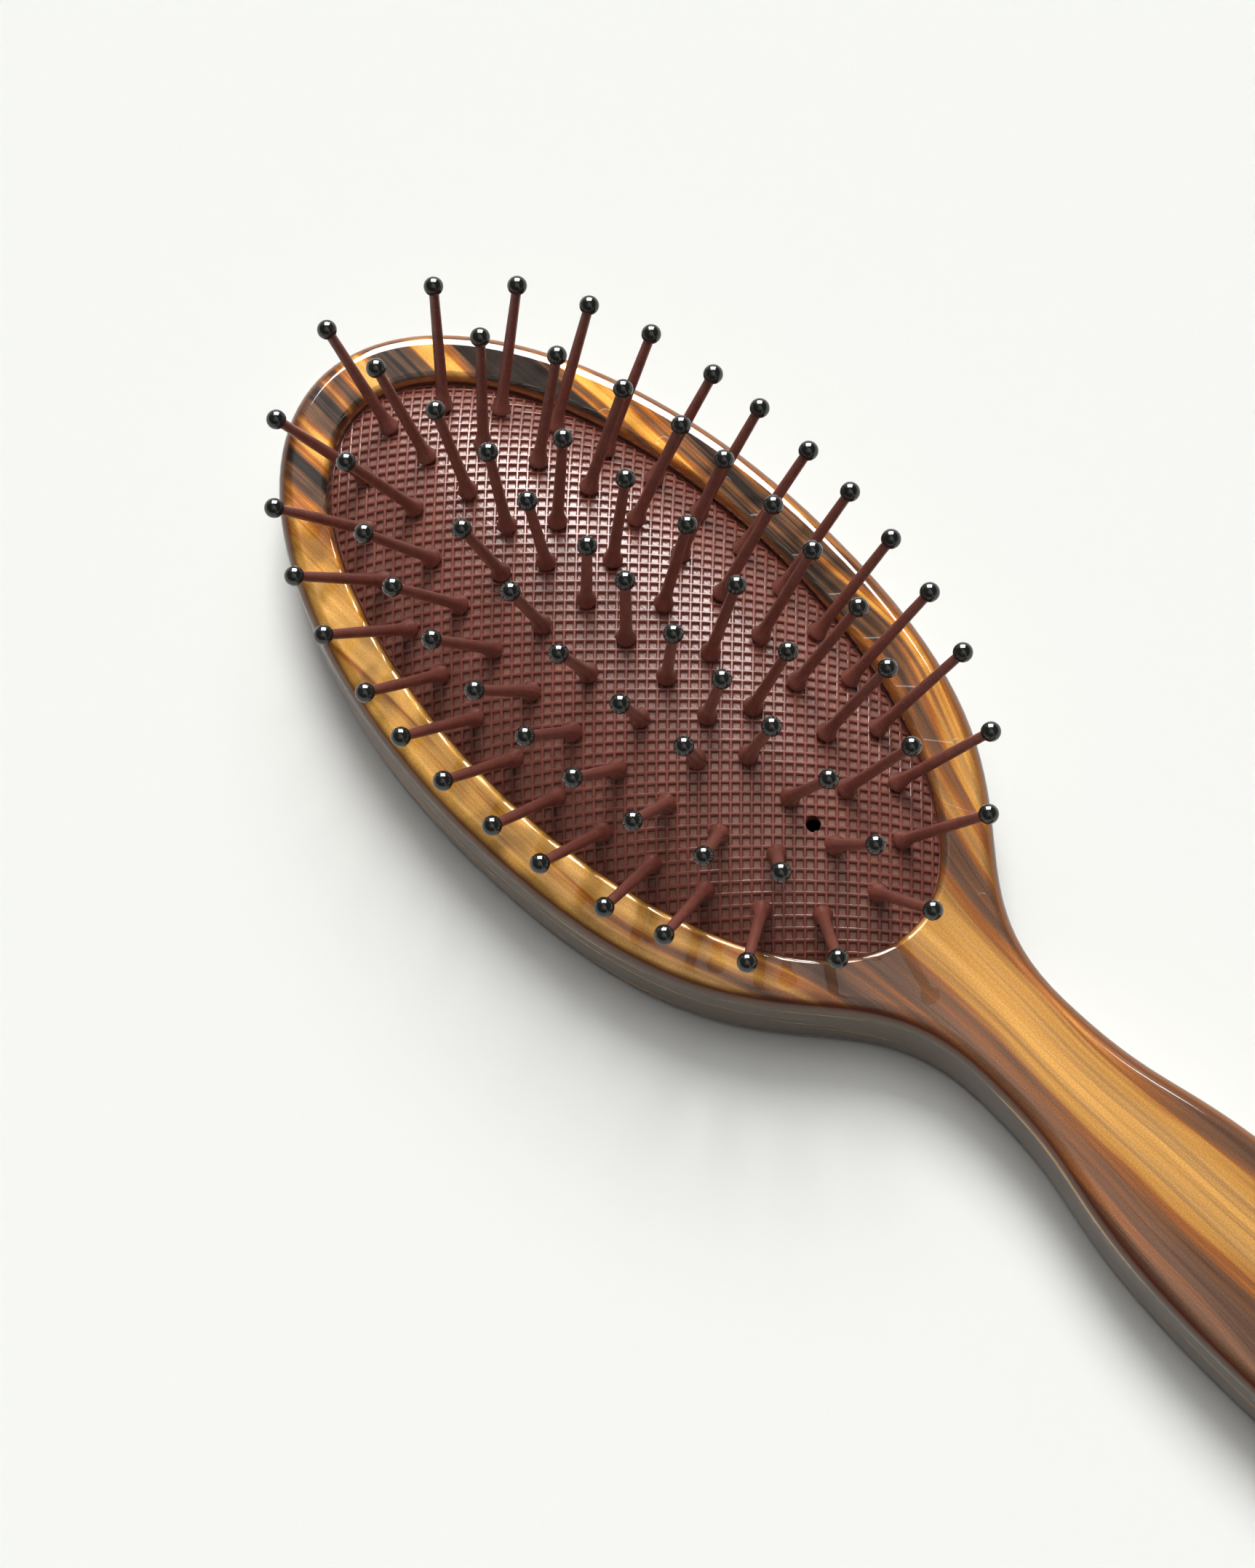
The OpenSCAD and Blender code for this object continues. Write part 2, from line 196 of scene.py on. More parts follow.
def stops(node, pairs):
    """Sets a colour ramp's stops from pairs of place and colour."""
    ramp = node.color_ramp
    while len(ramp.elements) < len(pairs):
        ramp.elements.new(1.0)
    for element, (place, colour) in zip(ramp.elements, pairs):
        element.position = place
        element.color = colour
    return node


def grey_stops(*pairs):
    return [(place, (shade, shade, shade, 1.0)) for place, shade in pairs]


def blank_material(name):
    material = bpy.data.materials.new(name)
    material.use_nodes = True
    material.node_tree.nodes.clear()
    return material, material.node_tree


def finish_material(tree, shader):
    add(tree, "ShaderNodeOutputMaterial", {"Surface": shader.outputs[0]})


def marbled_acetate(sizes):
    """Cast and polished cellulose acetate sheet: colour under a clear coat, pearl streaks that run
    along the sheet, a fine metallic glitter and a mirror gloss."""
    material, tree = blank_material("marbled_acetate_polished")
    place = add(tree, "ShaderNodeTexCoord").outputs["Object"]
    axes = add(tree, "ShaderNodeSeparateXYZ", {"Vector": place})
    # The streaks run along the brush and draw together from the head into the neck
    narrow = add(tree, "ShaderNodeMapRange", {"Value": axes.outputs["X"], "From Min": -0.04,
                 "From Max": 0.012, "To Min": 1.0, "To Max": 2.0}, interpolation_type="SMOOTHSTEP")
    widen = add(tree, "ShaderNodeMapRange", {"Value": axes.outputs["X"], "From Min": 0.01,
                "From Max": 0.06, "To Min": 1.0, "To Max": 0.75},
                interpolation_type="SMOOTHSTEP")
    spread = add(tree, "ShaderNodeMath", {0: narrow.outputs[0], 1: widen.outputs[0]},
                 operation="MULTIPLY")
    wave_map = add(tree, "ShaderNodeMapping", {"Vector": place, "Scale": (28, 80, 60)})
    wave = add(tree, "ShaderNodeTexNoise", {"Vector": wave_map.outputs[0], "Scale": 1.0,
               "Detail": 1.0})
    wavy = add(tree, "ShaderNodeMath", {0: wave.outputs["Fac"], 1: 0.003,
               2: axes.outputs["Y"]}, operation="MULTIPLY_ADD")
    level = add(tree, "ShaderNodeMath", {0: wavy.outputs[0], 1: 0.0015}, operation="SUBTRACT")
    lane = add(tree, "ShaderNodeMath", {0: level.outputs[0], 1: spread.outputs[0]},
               operation="MULTIPLY")
    flow = add(tree, "ShaderNodeCombineXYZ", {"X": axes.outputs["X"], "Y": lane.outputs[0],
               "Z": axes.outputs["Z"]})
    # Streaks are 2 to 4 mm wide and some 50 mm long, with finer ones of 0.7 mm in them
    broad, fine, veil = (
        add(tree, "ShaderNodeTexNoise", {
            "Vector": add(tree, "ShaderNodeMapping", {
                "Vector": flow.outputs[0], "Location": offset, "Scale": scale}).outputs[0],
            "Scale": 1.0, "Detail": 3.0, "Roughness": rough, "Distortion": bend})
        for offset, scale, rough, bend in (
            ((0, 0, 0), (22, 260, 90), 0.5, 0.4), ((3, 1, 0), (28, 1100, 200), 0.6, 0.1),
            ((7, 5, 0), (18, 850, 150), 0.55, 0.1)))
    # Where the sheet is mostly gold and where mostly dark, from its left side to its right
    lane_share = add(tree, "ShaderNodeMapRange", {"Value": lane.outputs[0], "From Min": -0.03,
                     "From Max": 0.03})
    head_lean = stops(
        add(tree, "ShaderNodeValToRGB", {"Fac": lane_share.outputs[0]}),
        grey_stops((0.03, 0.45), (0.07, 0.78), (0.11, 0.6), (0.15, 0.8), (0.2, 0.5), (0.25, 0.56),
                   (0.33, 0.28), (0.39, 0.64), (0.45, 0.25), (0.51, 0.46), (0.56, 0.64),
                   (0.61, 0.2), (0.68, 0.6), (0.76, 0.16), (0.82, 0.3), (0.845, 0.5),
                   (0.87, 0.12), (0.92, 0.14), (0.95, 0.6)))
    handle_lean = stops(
        add(tree, "ShaderNodeValToRGB", {"Fac": lane_share.outputs[0]}),
        grey_stops((0.03, 0.7), (0.08, 0.8), (0.11, 0.42), (0.14, 0.72), (0.19, 0.36),
                   (0.24, 0.26), (0.29, 0.38), (0.33, 0.3), (0.37, 0.4), (0.4, 0.34),
                   (0.43, 0.48), (0.47, 0.78), (0.53, 0.84), (0.57, 0.7), (0.63, 0.64),
                   (0.68, 0.48), (0.72, 0.18), (0.76, 0.26), (0.8, 0.66), (0.84, 0.5),
                   (0.89, 0.76), (0.95, 0.42)))
    toward_handle = add(tree, "ShaderNodeMapRange", {"Value": axes.outputs["X"],
                        "From Min": -0.055, "From Max": -0.01},
                        interpolation_type="SMOOTHSTEP")
    lean = add(tree, "ShaderNodeMix", {"Factor": toward_handle.outputs[0],
               6: head_lean.outputs["Color"], 7: handle_lean.outputs["Color"]},
               data_type="RGBA")
    calm = add(tree, "ShaderNodeMapRange", {"Value": toward_handle.outputs[0],
               "To Min": 1.0, "To Max": 0.6})
    swing = add(tree, "ShaderNodeMath", {0: broad.outputs["Fac"], 1: 1.3, 2: -0.65},
                operation="MULTIPLY_ADD")
    line = add(tree, "ShaderNodeMath", {0: fine.outputs["Fac"], 1: 0.5},
               operation="SUBTRACT")
    # The fine lines show in the brown more than in the gold
    line_depth = add(tree, "ShaderNodeMapRange", {"Value": lean.outputs[2], "From Min": 0.3,
                     "From Max": 0.8, "To Min": 0.9, "To Max": 0.3})
    stray = add(tree, "ShaderNodeMath", {0: line.outputs[0], 1: line_depth.outputs[0],
                2: swing.outputs[0]}, operation="MULTIPLY_ADD")
    tone = add(tree, "ShaderNodeMath", {0: stray.outputs[0], 1: calm.outputs[0],
               2: lean.outputs[2]}, operation="MULTIPLY_ADD")
    bands = stops(add(tree, "ShaderNodeValToRGB", {"Fac": tone.outputs[0]}), [
        (0.0, sizes.dusk), (0.24, sizes.dusk), (0.38, sizes.brown), (0.48, sizes.amber),
        (0.60, sizes.gold), (0.85, sizes.pearl), (1.0, sizes.pearl),
    ])
    # A thin grey-brown veil lies in other streaks, most of it in the handle
    veiled = stops(add(tree, "ShaderNodeValToRGB", {"Fac": veil.outputs["Fac"]}),
                   grey_stops((0.45, 0.0), (0.66, 0.5)))
    thinner = add(tree, "ShaderNodeMapRange", {"Value": toward_handle.outputs[0],
                  "To Min": 0.35, "To Max": 1.0})
    veil_share = add(tree, "ShaderNodeMath", {0: veiled.outputs["Color"],
                     1: thinner.outputs[0]}, operation="MULTIPLY")
    streaks = add(tree, "ShaderNodeMix", {"Factor": veil_share.outputs[0],
                  6: bands.outputs["Color"], 7: sizes.taupe}, data_type="RGBA")
    milk = add(tree, "ShaderNodeMath", {0: toward_handle.outputs[0], 1: 0.22},
               operation="MULTIPLY")
    softened = add(tree, "ShaderNodeMix", {"Factor": milk.outputs[0], 6: streaks.outputs[2],
                   7: sizes.haze}, data_type="RGBA")
    # Soft folds of pearl across the head's gold, about 6 mm apart, and a glitter of flakes
    folds = add(tree, "ShaderNodeTexNoise", {"Vector": flow.outputs[0], "Scale": 170.0,
                "Detail": 1.0, "Distortion": 1.0})
    fold = add(tree, "ShaderNodeMapRange", {"Value": folds.outputs["Fac"], "From Min": 0.33,
               "From Max": 0.67, "To Min": 0.6, "To Max": 1.2})
    folded = add(tree, "ShaderNodeMix", {"Factor": toward_handle.outputs[0],
                 2: fold.outputs[0], 3: 1.0}, data_type="FLOAT")
    glitter = add(tree, "ShaderNodeTexNoise", {"Vector": place, "Scale": 5200.0, "Detail": 1.0})
    sparkle = add(tree, "ShaderNodeMapRange", {"Value": glitter.outputs["Fac"], "From Min": 0.35,
                  "From Max": 0.75, "To Min": 0.9, "To Max": 1.2})
    light = add(tree, "ShaderNodeMath", {0: folded.outputs[0], 1: sparkle.outputs[0]},
                operation="MULTIPLY")
    lit = add(tree, "ShaderNodeVectorMath", {0: softened.outputs[2],
              "Scale": light.outputs[0]}, operation="SCALE")
    # The cut edge shows the sheet's depth: amber round the edge on the lit right side, painted
    # shade of dark red-brown round the left edge, grey-brown layers below it
    middle = add(tree, "ShaderNodeMath", {0: axes.outputs["Z"], 1: sizes.thickness / 2},
                 operation="SUBTRACT")
    height = add(tree, "ShaderNodeMath", {0: middle.outputs[0]}, operation="ABSOLUTE")
    rounding = sizes.thickness / 2 - sizes.edge_radius
    at_edge, at_wall = (
        add(tree, "ShaderNodeMapRange", {
            "Value": height.outputs[0], "From Min": rounding + sizes.edge_radius * low,
            "From Max": rounding + sizes.edge_radius * high, "To Min": share, "To Max": 0.0},
            interpolation_type="SMOOTHSTEP")
        for low, high, share in ((0.72, 0.96, 0.9), (0.25, 0.85, 1.0)))
    layer_map = add(tree, "ShaderNodeMapping", {"Vector": place, "Scale": (22, 22, 800)})
    layers = add(tree, "ShaderNodeTexNoise", {"Vector": layer_map.outputs[0], "Scale": 1.0,
                 "Detail": 2.0, "Distortion": 0.3})
    layered = stops(add(tree, "ShaderNodeValToRGB", {"Fac": layers.outputs["Fac"]}), [
        (0.34, sizes.dusk), (0.44, sizes.brown), (0.5, sizes.wall), (0.57, sizes.taupe),
        (0.61, sizes.wall), (0.68, sizes.gold)])
    # Painted shade: the left side's rounded edge turns dark red-brown, while the lit right side's
    # stays amber
    shaded_side_share = add(tree, "ShaderNodeMapRange", {"Value": axes.outputs["Y"],
                     "From Min": 0.008, "From Max": -0.008})
    rim = add(tree, "ShaderNodeMix", {"Factor": shaded_side_share.outputs[0], 6: sizes.amber,
              7: sizes.rim_painted_shade}, data_type="RGBA")
    edged = add(tree, "ShaderNodeMix", {"Factor": at_edge.outputs[0], 6: lit.outputs["Vector"],
                7: rim.outputs[2]}, data_type="RGBA")
    walled = add(tree, "ShaderNodeMix", {"Factor": at_wall.outputs[0], 6: edged.outputs[2],
                 7: layered.outputs["Color"]}, data_type="RGBA")
    shader = add(tree, "ShaderNodeBsdfPrincipled", {
        "Base Color": walled.outputs[2], "Roughness": 0.4, "Metallic": 0.2,
        "Specular IOR Level": 0.0,
        "Coat Weight": 1.0, "Coat Roughness": 0.02, "Coat IOR": 1.49,
    })
    finish_material(tree, shader)
    return material


def moulded_rubber(name, colour, hatched):
    """Moulded natural rubber: soft to the eye, slightly mottled, with a low sheen on the ribs."""
    material, tree = blank_material(name)
    place = add(tree, "ShaderNodeTexCoord").outputs["Object"]
    mottle = add(tree, "ShaderNodeTexNoise", {"Vector": place, "Scale": 900.0, "Detail": 3.0})
    shade = add(tree, "ShaderNodeMapRange", {"Value": mottle.outputs["Fac"], "From Min": 0.3,
                "From Max": 0.7, "To Min": 0.85, "To Max": 1.15})
    varied = add(tree, "ShaderNodeVectorMath", {0: colour[:3], "Scale": shade.outputs["Result"]},
                 operation="SCALE")
    grain = add(tree, "ShaderNodeTexNoise", {"Vector": place, "Scale": 4000.0, "Detail": 2.0})
    height = grain.outputs["Fac"]
    if hatched:
        # The cells carry fine lines along the brush
        lines = add(tree, "ShaderNodeTexWave", {"Vector": place, "Scale": 1570.0 / 2,
                    "Distortion": 0.0}, wave_type="BANDS", bands_direction="Y")
        height = add(tree, "ShaderNodeMath", {0: lines.outputs["Fac"], 1: 0.8, 2: height},
                     operation="MULTIPLY_ADD").outputs[0]
    bump = add(tree, "ShaderNodeBump", {"Height": height, "Strength": 0.3, "Distance": 0.00003})
    shader = add(tree, "ShaderNodeBsdfPrincipled", {
        "Base Color": varied.outputs["Vector"], "Roughness": 0.3,
        "IOR": 1.52,
        "Normal": bump.outputs["Normal"],
    })
    finish_material(tree, shader)
    return material


def moulded_nylon(sizes):
    """Moulded nylon 6: a satin skin with a faint dusty speckle."""
    material, tree = blank_material("pin_nylon_moulded")
    place = add(tree, "ShaderNodeTexCoord").outputs["Object"]
    cloud = add(tree, "ShaderNodeTexNoise", {"Vector": place, "Scale": 700.0, "Detail": 3.0})
    dust = add(tree, "ShaderNodeTexNoise", {"Vector": place, "Scale": 6500.0, "Detail": 1.0})
    shade = add(tree, "ShaderNodeMapRange", {"Value": cloud.outputs["Fac"], "From Min": 0.3,
                "From Max": 0.7, "To Min": 0.85, "To Max": 1.15})
    specks = add(tree, "ShaderNodeMapRange", {"Value": dust.outputs["Fac"], "From Min": 0.62,
                 "From Max": 0.8, "To Min": 0.0, "To Max": 0.5})
    varied = add(tree, "ShaderNodeVectorMath", {0: sizes.nylon[:3],
                 "Scale": shade.outputs["Result"]}, operation="SCALE")
    dusty = add(tree, "ShaderNodeMix", {"Factor": specks.outputs["Result"],
                6: varied.outputs["Vector"], 7: linear(DUST)}, data_type="RGBA")
    bump = add(tree, "ShaderNodeBump", {"Height": dust.outputs["Fac"], "Strength": 0.3,
               "Distance": 0.00003})
    shader = add(tree, "ShaderNodeBsdfPrincipled", {
        "Base Color": dusty.outputs[2], "Roughness": 0.34, "IOR": 1.53,
        "Normal": bump.outputs["Normal"],
    })
    finish_material(tree, shader)
    return material


def glossy_tip(sizes):
    """Dipped epoxy: a smooth, wet-looking dark drop."""
    material, tree = blank_material("tip_epoxy_dipped")
    place = add(tree, "ShaderNodeTexCoord").outputs["Object"]
    cloud = add(tree, "ShaderNodeTexNoise", {"Vector": place, "Scale": 500.0, "Detail": 2.0})
    shade = add(tree, "ShaderNodeMapRange", {"Value": cloud.outputs["Fac"], "From Min": 0.3,
                "From Max": 0.7, "To Min": 0.8, "To Max": 1.2})
    varied = add(tree, "ShaderNodeVectorMath", {0: sizes.enamel[:3],
                 "Scale": shade.outputs["Result"]}, operation="SCALE")
    shader = add(tree, "ShaderNodeBsdfPrincipled", {
        "Base Color": varied.outputs["Vector"], "Roughness": 0.09, "IOR": 1.56,
    })
    finish_material(tree, shader)
    return material


# Helpers for meshes


def start():
    """Nothing selected and object mode, before a new piece."""
    if bpy.context.object and bpy.context.object.mode != "OBJECT":
        bpy.ops.object.mode_set(mode="OBJECT")
    bpy.ops.object.select_all(action="DESELECT")


def loft(name, rings, closed=True):
    """A shell from rings of points that follow each other: the first ring is a primitive
    circle, and each next one is extruded from the last and put in its place."""
    start()
    count = len(rings[0])
    bpy.ops.mesh.primitive_circle_add(vertices=count, radius=1.0,
                                      fill_type="NGON" if closed else "NOTHING")
    piece = bpy.context.object
    piece.name = piece.data.name = name
    for vertex, point in zip(piece.data.vertices, rings[0]):
        vertex.co = point
    for ring in rings[1:]:
        bpy.ops.object.mode_set(mode="EDIT")
        bpy.ops.mesh.extrude_region_move()
        bpy.ops.object.mode_set(mode="OBJECT")
        moved = [v for v in piece.data.vertices if v.select]
        # An extruded ring keeps the order of the ring that it came from
        for vertex, point in zip(moved, ring):
            vertex.co = point
    bpy.ops.object.mode_set(mode="EDIT")
    bpy.ops.mesh.select_all(action="SELECT")
    bpy.ops.mesh.normals_make_consistent(inside=False)
    bpy.ops.object.mode_set(mode="OBJECT")
    return piece


def apply_all(piece):
    bpy.context.view_layer.objects.active = piece
    for modifier in list(piece.modifiers):
        bpy.ops.object.modifier_apply(modifier=modifier.name)


def smooth(piece, degrees):
    start()
    piece.select_set(True)
    bpy.context.view_layer.objects.active = piece
    bpy.ops.object.shade_smooth_by_angle(angle=math.radians(degrees))


def dress(piece, material):
    piece.data.materials.clear()
    piece.data.materials.append(material)


# The brush's lines and surfaces


def bezier(a, b, c, d, t):
    return a * (1 - t) ** 3 + 3 * b * t * (1 - t) ** 2 + 3 * c * t * t * (1 - t) + d * t**3


def stretch(a, b, out_share, in_share, steps):
    """Points from a towards b, leaving and arriving along the brush."""
    run = b[0] - a[0]
    return [
        (bezier(a[0], a[0] + run * out_share, b[0] - run * in_share, b[0], i / steps),
         bezier(a[1], a[1], b[1], b[1], i / steps))
        for i in range(steps)
    ]


def outline(sizes, steps=32):
    """The body's outline from above, closed, from the head's tip round its right side."""
    half = sizes.length / 2
    end = half - sizes.end_width / 2
    head, neck, swell, tail = (w / 2 for w in (sizes.head_width, sizes.neck_width,
                                               sizes.swell_width, sizes.end_width))
    turn = [math.pi / 2 * i / steps for i in range(steps)]
    side = [(sizes.head_centre - (sizes.head_centre + half) * math.cos(t), head * math.sin(t))
            for t in turn[1:]]
    places = ((sizes.head_centre, head), (sizes.neck_place, neck),
              (sizes.swell_place, swell), (end, tail))
    for a, b, shares in zip(places, places[1:], (SHOULDER_SHARES, NECK_SHARES, TAIL_SHARES)):
        side += stretch(a, b, *shares, steps)
    side += [(end + tail * math.sin(t), tail * math.cos(t)) for t in turn]
    return [(-half, 0.0)] + side + [(half, 0.0)] + [(x, -y) for x, y in reversed(side)]


def oval(centre, half_length, half_width, count):
    return [(centre - half_length * math.cos(2 * math.pi * i / count),
             half_width * math.sin(2 * math.pi * i / count)) for i in range(count)]


def moved_out(points, distance):
    """A closed line of points moved outward by a distance, each along its own normal."""
    found = []
    for i, (x, y) in enumerate(points):
        ax, ay = points[i - 1]
        bx, by = points[(i + 1) % len(points)]
        length = math.hypot(bx - ax, by - ay)
        found.append((x - (by - ay) / length * distance, y + (bx - ax) / length * distance))
    return found


def dome(pad, x, y):
    """Height of the pad's surface over x, y."""
    u, v = (x - pad.centre) / (pad.length / 2), y / (pad.width / 2)
    q = math.hypot(u, v)
    end_share = u * u / (q * q) if q > 0 else 0
    return pad.crown - (pad.crown - pad.edge) * min(q, 1.0) ** (
        PAD_FALL_SHARE + PAD_END_FALL_SHARE * end_share)


def pin_lines(node):
    """Foot point and direction of each pin of a CAD node."""
    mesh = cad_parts[node].data
    points = np.empty(len(mesh.vertices) * 3)
    mesh.vertices.foreach_get("co", points)
    points = points.reshape(-1, 3)
    keys, back = np.unique(np.round(points * 1e6).astype(int), axis=0, return_inverse=True)
    back = back.reshape(-1)
    group = np.arange(len(keys))
    edges = np.empty(len(mesh.edges) * 2, int)
    mesh.edges.foreach_get("vertices", edges)
    edges = back[edges.reshape(-1, 2)]
    while True:
        low = np.minimum(group[edges[:, 0]], group[edges[:, 1]])
        new = group.copy()
        np.minimum.at(new, edges[:, 0], low)
        np.minimum.at(new, edges[:, 1], low)
        new = new[new]
        if (new == group).all():
            break
        group = new
    lines = []
    for g in np.unique(group):
        part = keys[group == g] / 1e6
        middle = part.mean(0)
        way = np.linalg.svd(part - middle, full_matrices=False)[2][0]
        way = way if way[2] > 0 else -way
        along = (part - middle) @ way
        top = part[along > along.max() - 0.00012].mean(0)
        foot = part[along < along.min() + 0.00045].mean(0)
        lines.append((Vector(foot), (Vector(top) - Vector(foot)).normalized()))
    return lines


# Operators


class BRUSH_OT_body(bpy.types.Operator):
    """Model the acetate body with its rounded edges and its pocket"""

    bl_idname = "brush.body"
    bl_label = "Acetate Body"

    def execute(self, context):
        sizes, pad = context.scene.brush.body, context.scene.brush.pad
        line = outline(sizes)
        radius, steps = sizes.edge_radius, 8
        arc = [math.pi / 2 * i / steps for i in range(steps + 1)]
        low = [(radius * (math.sin(t) - 1), radius * (1 - math.cos(t))) for t in arc]
        rings = low + [(d, sizes.thickness - z) for d, z in reversed(low)]
        body = loft("brush_body", [[(x, y, z) for x, y in moved_out(line, d)] for d, z in rings])

        hole = oval(pad.centre, pad.length / 2, pad.width / 2, 256)
        brim, top, gap = sizes.brim_radius, sizes.thickness, FLANGE_GAP
        groove = pad.flange + 2 * gap
        curve = [math.pi / 2 * i / 6 for i in range(7)]
        cut = [(brim, top + 0.002)]
        cut += [(brim * (1 - math.cos(t)), top - brim * (1 - math.sin(t))) for t in reversed(curve)]
        cut += [(0, pad.edge + gap), (groove, pad.edge + gap)]
        cut += [(groove, pad.edge - pad.skin - gap), (0, pad.edge - pad.skin - gap)]
        cut += [(FLOOR_RADIUS * (math.sin(t) - 1), sizes.floor + FLOOR_RADIUS * (1 - math.cos(t)))
                for t in reversed(curve)]
        cutter = loft("pocket_cutter",
                      [[(x, y, z) for x, y in moved_out(hole, d)] for d, z in cut])
        start()
        body.select_set(True)
        context.view_layer.objects.active = body
        pocket = body.modifiers.new("pocket", "BOOLEAN")
        pocket.operation, pocket.solver, pocket.object = "DIFFERENCE", "EXACT", cutter
        apply_all(body)
        bpy.data.objects.remove(cutter)
        smooth(body, 40)
        weighted = body.modifiers.new("even_shading", "WEIGHTED_NORMAL")
        weighted.keep_sharp = True
        apply_all(body)
        dress(body, marbled_acetate(sizes))
        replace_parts(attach(body, "root"), "handle_body")
        return {"FINISHED"}


class BRUSH_OT_pad(bpy.types.Operator):
    """Model the domed rubber pad with its grid of ribs, flange and vent hole"""

    bl_idname = "brush.pad"
    bl_label = "Ribbed Pad"

    def execute(self, context):
        pad = context.scene.brush.pad
        start()
        cells = int(pad.length * 1.5 / pad.rib_pitch / 2) * 2
        bpy.ops.mesh.primitive_grid_add(
            x_subdivisions=cells, y_subdivisions=cells, size=cells * pad.rib_pitch,
            rotation=(0, 0, math.pi / 4), location=(pad.centre, 0, 0))
        piece = context.object
        piece.name = piece.data.name = "ribbed_pad"
        bpy.ops.object.transform_apply()
        rim = oval(pad.centre, pad.length / 2, pad.width / 2, 72)
        bpy.ops.object.mode_set(mode="EDIT")
        bpy.ops.mesh.select_all(action="SELECT")
        for i, (x, y) in enumerate(rim):
            ax, ay = rim[i - 1]
            bpy.ops.mesh.select_all(action="SELECT")
            out = Vector((ay - y, x - ax, 0)).normalized()
            bpy.ops.mesh.bisect(plane_co=(x, y, 0), plane_no=out, clear_outer=True,
                                threshold=0.000005)
        bpy.ops.object.mode_set(mode="OBJECT")
        mesh = piece.data
        whole = pad.rib_pitch ** 2
        for polygon in mesh.polygons:
            polygon.select = polygon.area > whole * 0.3
        bpy.ops.object.mode_set(mode="EDIT")
        bpy.ops.mesh.select_mode(type="FACE")
        # A rib has a round top: half of its flat, two shoulders, then its wall to the cell
        for drop in (0.0, 0.1, 0.25, 0.65):
            bpy.ops.mesh.inset(thickness=pad.rib_width / 5, use_individual=True)
            bpy.ops.transform.translate(value=(0, 0, -pad.rib_depth * drop))
        bpy.ops.object.mode_set(mode="OBJECT")
        piece.data.materials.append(
            moulded_rubber("pad_rubber_moulded", pad.rubber, hatched=False))
        # The cells get the same rubber painted lighter and greyer: painted sheen of their flat
        # floors
        piece.data.materials.append(
            moulded_rubber("pad_recess_painted_sheen", pad.recess_painted_sheen, hatched=True))
        for polygon in mesh.polygons:
            polygon.material_index = int(polygon.select)
        for vertex in mesh.vertices:
            vertex.co.z += dome(pad, vertex.co.x, vertex.co.y)
        self.close_underneath(pad, piece)
        self.pierce_vent(context, pad, piece)
        smooth(piece, 40)
        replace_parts(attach(piece, "root"), "cushion_pad")
        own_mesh(piece)
        return {"FINISHED"}

    def close_underneath(self, pad, piece):
        """Extrudes the rim into the flange and on under the pad to its middle."""
        a, b = pad.length / 2, pad.width / 2
        mesh = piece.data
        bpy.ops.object.mode_set(mode="EDIT")
        bpy.ops.mesh.select_mode(type="EDGE")
        bpy.ops.mesh.select_all(action="DESELECT")
        bpy.ops.mesh.select_non_manifold(extend=False, use_multi_face=False,
                                         use_non_contiguous=False, use_verts=False)
        bpy.ops.object.mode_set(mode="OBJECT")
        ends = [(a + pad.flange) / a, (b + pad.flange) / b]
        steps = [(ends[0], ends[1], pad.edge), (ends[0], ends[1], pad.edge - pad.skin)]
        steps += [(q, q, None) for q in (1.0, 0.9, 0.78, 0.64, 0.48, 0.3, 0.1)]
        rim = {v.index: v.co.copy() for v in mesh.vertices if v.select}
        order = [rim[i] for i in sorted(rim)]
        for sx, sy, z in steps:
            bpy.ops.object.mode_set(mode="EDIT")
            bpy.ops.mesh.extrude_region_move()
            bpy.ops.object.mode_set(mode="OBJECT")
            for vertex, point in zip([v for v in mesh.vertices if v.select], order):
                x = pad.centre + (point.x - pad.centre) * sx
                y = point.y * sy
                vertex.co = (x, y, dome(pad, x, y) - pad.skin if z is None else z)
        bpy.ops.object.mode_set(mode="EDIT")
        bpy.ops.mesh.edge_face_add()
        bpy.ops.mesh.select_all(action="SELECT")
        bpy.ops.mesh.normals_make_consistent(inside=False)
        bpy.ops.object.mode_set(mode="OBJECT")

    def pierce_vent(self, context, pad, piece):
        """Cuts the vent hole through the pad."""
        start()
        bpy.ops.mesh.primitive_cylinder_add(
            vertices=32, radius=pad.vent_width / 2, depth=0.03,
            location=(pad.vent_place, 0, pad.crown))
        drill = context.object
        start()
        piece.select_set(True)
        vent = piece.modifiers.new("vent", "BOOLEAN")
        vent.operation, vent.solver, vent.object = "DIFFERENCE", "EXACT", drill
        apply_all(piece)
        bpy.data.objects.remove(drill)


def copies(name, template, lines, reach, material):
    """One piece made of a copy of the template for each line, reach along it."""
    start()
    made = []
    for foot, way in lines:
        turn = way.to_track_quat("Z", "Y").to_matrix().to_4x4()
        one = template.copy()
        one.data = template.data.copy()
        one.data.transform(Matrix.Translation(foot + way * reach) @ turn)
        bpy.context.scene.collection.objects.link(one)
        made.append(one)
    for one in made:
        one.select_set(True)
    bpy.context.view_layer.objects.active = made[0]
    bpy.ops.object.join()
    piece = bpy.context.object
    piece.name = piece.data.name = name
    dress(piece, material)
    return piece


GROUPS = [
    ("outer_toe", "outer_ring"), ("outer_right", "outer_ring"), ("outer_heel", "outer_ring"),
    ("outer_left", "outer_ring"), ("second_toe", "second_ring"), ("second_right", "second_ring"),
    ("second_heel", "second_ring"), ("second_left", "second_ring"), ("third_right", "third_ring"),
    ("third_left", "third_ring"), ("centre_row", "centre_row"),
]


